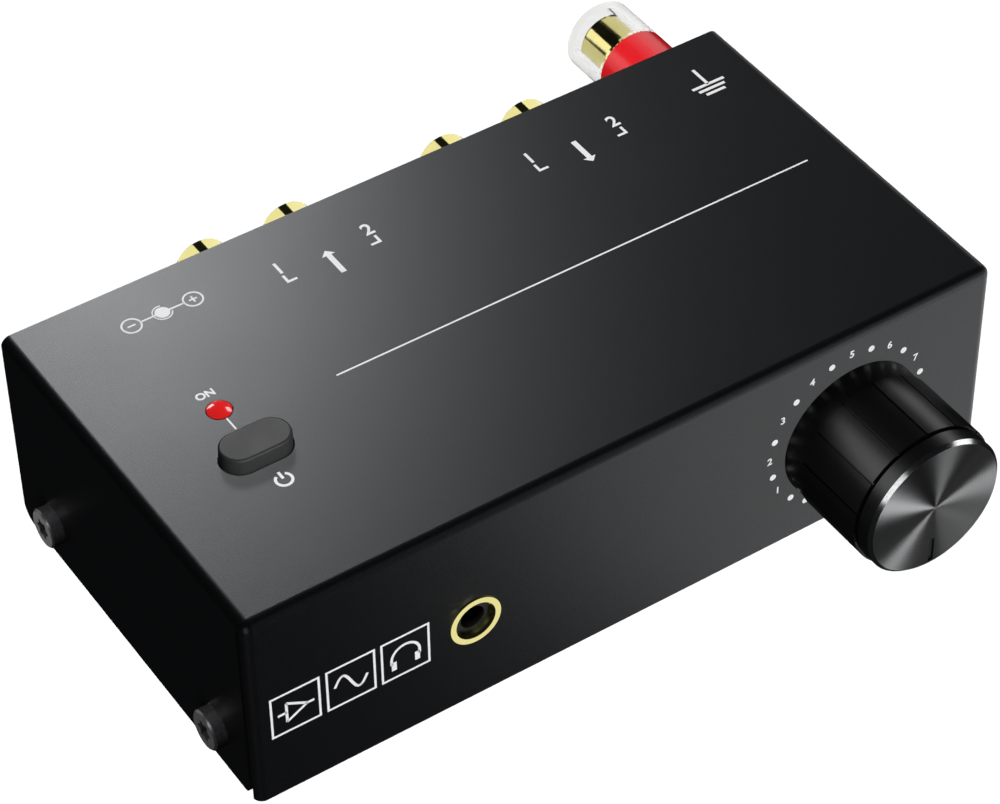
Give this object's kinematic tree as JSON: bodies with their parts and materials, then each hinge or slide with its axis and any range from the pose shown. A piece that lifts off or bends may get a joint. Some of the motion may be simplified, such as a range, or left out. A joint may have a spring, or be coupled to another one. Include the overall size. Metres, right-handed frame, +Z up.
{
  "type": "phono preamp",
  "caption": "Compact phono preamplifier in a black folded-steel case with a volume knob, headphone socket, power button, rear RCA sockets, power inlet and ground post.",
  "frame": {"origin": "on the table, at the centre of the whole object's footprint", "axes": "+X to the right seen from the front, +Y to the rear, +Z up"},
  "size_m": [0.1198, 0.0984, 0.0372],
  "materials": {
    "powder_coat": "black fine-textured powder coat, semi-gloss",
    "rubber": "matt black rubber",
    "black_screw": "black zinc-plated steel",
    "steel": "bright zinc-plated steel",
    "brass": "plain turned brass",
    "circuit_board": "green solder mask on glass laminate",
    "anodised": "black anodised, turned and spun aluminium",
    "black_plastic": "moulded black plastic",
    "button_plastic": "dark grey satin moulded plastic",
    "white_plastic": "moulded white plastic",
    "red_plastic": "moulded red plastic",
    "red_lens": "clear red lens",
    "gold": "polished gold plating",
    "clear_plastic": "clear acrylic",
    "can_sleeve": "shrink sleeve on an aluminium can",
    "film_case": "dipped red case",
    "resistor": "blue lacquer",
    "tin": "tinned metal"
  },
  "bodies": {
    "case": {"amplifier_chips": "black_plastic", "base_tray": "powder_coat", "board_screws": "steel", "board_standoffs": "brass", "chip_legs": "tin", "circuit_board": "circuit_board", "film_capacitors": "film_case", "ground_inner_nut": "steel", "ground_inner_washer": "steel", "ground_post_base": "red_plastic", "ground_post_stud": "gold", "ground_strap": "tin", "headphone_contacts": "tin", "headphone_ferrule": "gold", "headphone_socket": "black_plastic", "inlet_pin": "tin", "inlet_spring": "tin", "input_socket_body": "black_plastic", "input_socket_contacts": "gold", "input_socket_shells": "gold", "left_socket_inserts": "white_plastic", "light_holder": "black_plastic", "light_legs": "tin", "output_socket_body": "black_plastic", "output_socket_contacts": "gold", "output_socket_shells": "gold", "power_capacitor": "can_sleeve", "power_inlet": "black_plastic", "power_light": "red_lens", "power_switch": "black_plastic", "pressed_nuts": "steel", "resistor_leads": "tin", "resistors": "resistor", "right_socket_inserts": "red_plastic", "rubber_feet": "rubber", "side_screws": "black_screw", "signal_capacitors": "can_sleeve", "solder_pins": "tin", "top_cover": "powder_coat", "voltage_regulator": "black_plastic", "volume_bushing": "steel", "volume_control": "black_plastic", "volume_nut": "steel", "volume_washer": "steel"},
    "volume": {"volume_knob": "anodised", "knob_core": "black_plastic", "volume_shaft": "steel"},
    "button": {"power_button": "button_plastic", "switch_plunger": "white_plastic"},
    "post_washer": {"ground_post_washer": "gold"},
    "post_nut": {"ground_post_nut": "gold", "ground_post_sleeve": "clear_plastic"}
  },
  "joints": [
    {"name": "volume_turn", "type": "hinge", "parent": "case", "child": "volume", "pos_m": [0.0347, -0.04925, 0.0184], "axis": [0, 1, 0], "range_deg": [0, 300]},
    {"name": "button_press", "type": "slide", "parent": "case", "child": "button", "axis": [0, 0, -1], "range_m": [0, 0.002], "stiffness_N_per_m": 400, "springref_m": -0.001},
    {"name": "post_lift", "type": "slide", "parent": "case", "child": "post_washer", "axis": [0, 1, 0], "range_m": [0, 0.0035]},
    {"name": "post_turn", "type": "hinge", "parent": "post_washer", "child": "post_nut", "pos_m": [0.0494, 0.04925, 0.0264], "axis": [0, -1, 0], "range_deg": [0, 1800]}
  ],
  "couplings": [
    {"joint": "post_turn", "follows": "post_lift", "rad_per_m": 8976}
  ]
}
